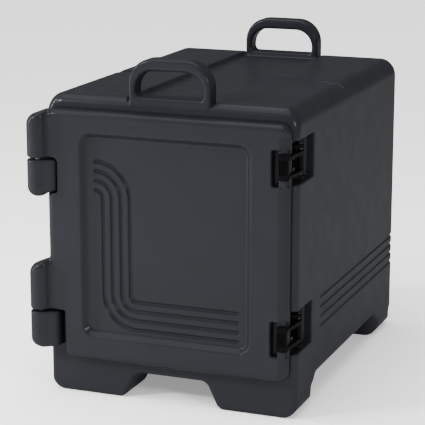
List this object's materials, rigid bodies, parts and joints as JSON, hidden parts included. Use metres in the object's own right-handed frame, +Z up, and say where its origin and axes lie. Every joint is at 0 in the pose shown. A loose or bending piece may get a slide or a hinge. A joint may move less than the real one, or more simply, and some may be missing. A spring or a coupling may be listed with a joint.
{
  "type": "insulated food carrier",
  "caption": "Front-loading insulated food-pan carrier in dark charcoal plastic, with a hinged door, two swing latches, loop handles and moulded feet.",
  "frame": {"origin": "on the floor under the middle of the object's bounding box", "axes": "+Z up, -Y out of the door, +X towards the latch side"},
  "size_m": [0.4824, 0.6434, 0.6005],
  "materials": {
    "shell": "matte moulded charcoal polyethylene",
    "foam": "rigid polyurethane foam, out of sight",
    "nylon": "black moulded nylon",
    "seal": "black silicone rubber",
    "steel": "stainless, turned",
    "brass": "turned, out of sight"
  },
  "bodies": {
    "carrier": {"body_shell": "shell", "body_foam_core": "foam", "body_fill_plug": "shell", "hinge_pin_upper": "steel", "hinge_pin_lower": "steel", "latch_base_upper": "nylon", "latch_pin_upper": "steel", "latch_screw_upper_1": "steel", "latch_screw_upper_2": "steel", "latch_insert_upper_1": "brass", "latch_insert_upper_2": "brass", "latch_base_lower": "nylon", "latch_pin_lower": "steel", "latch_screw_lower_1": "steel", "latch_screw_lower_2": "steel", "latch_insert_lower_1": "brass", "latch_insert_lower_2": "brass"},
    "door": {"door_shell": "shell", "door_foam_core": "foam", "door_fill_plug": "shell", "door_gasket": "seal", "hinge_bushing_upper": "nylon", "hinge_bushing_lower": "nylon"},
    "lever_upper": {"latch_lever_upper": "nylon"},
    "lever_lower": {"latch_lever_lower": "nylon"}
  },
  "joints": [
    {"name": "door_hinge", "type": "hinge", "parent": "carrier", "child": "door", "pos_m": [-0.22275, -0.30325, 0.25], "axis": [0, 0, -1], "range_deg": [0, 270]},
    {"name": "latch_upper", "type": "hinge", "parent": "carrier", "child": "lever_upper", "pos_m": [0.23325, -0.25125, 0.4405], "axis": [0, 0, 1], "range_deg": [0, 120]},
    {"name": "latch_lower", "type": "hinge", "parent": "carrier", "child": "lever_lower", "pos_m": [0.23325, -0.25125, 0.1495], "axis": [0, 0, 1], "range_deg": [0, 120]}
  ]
}
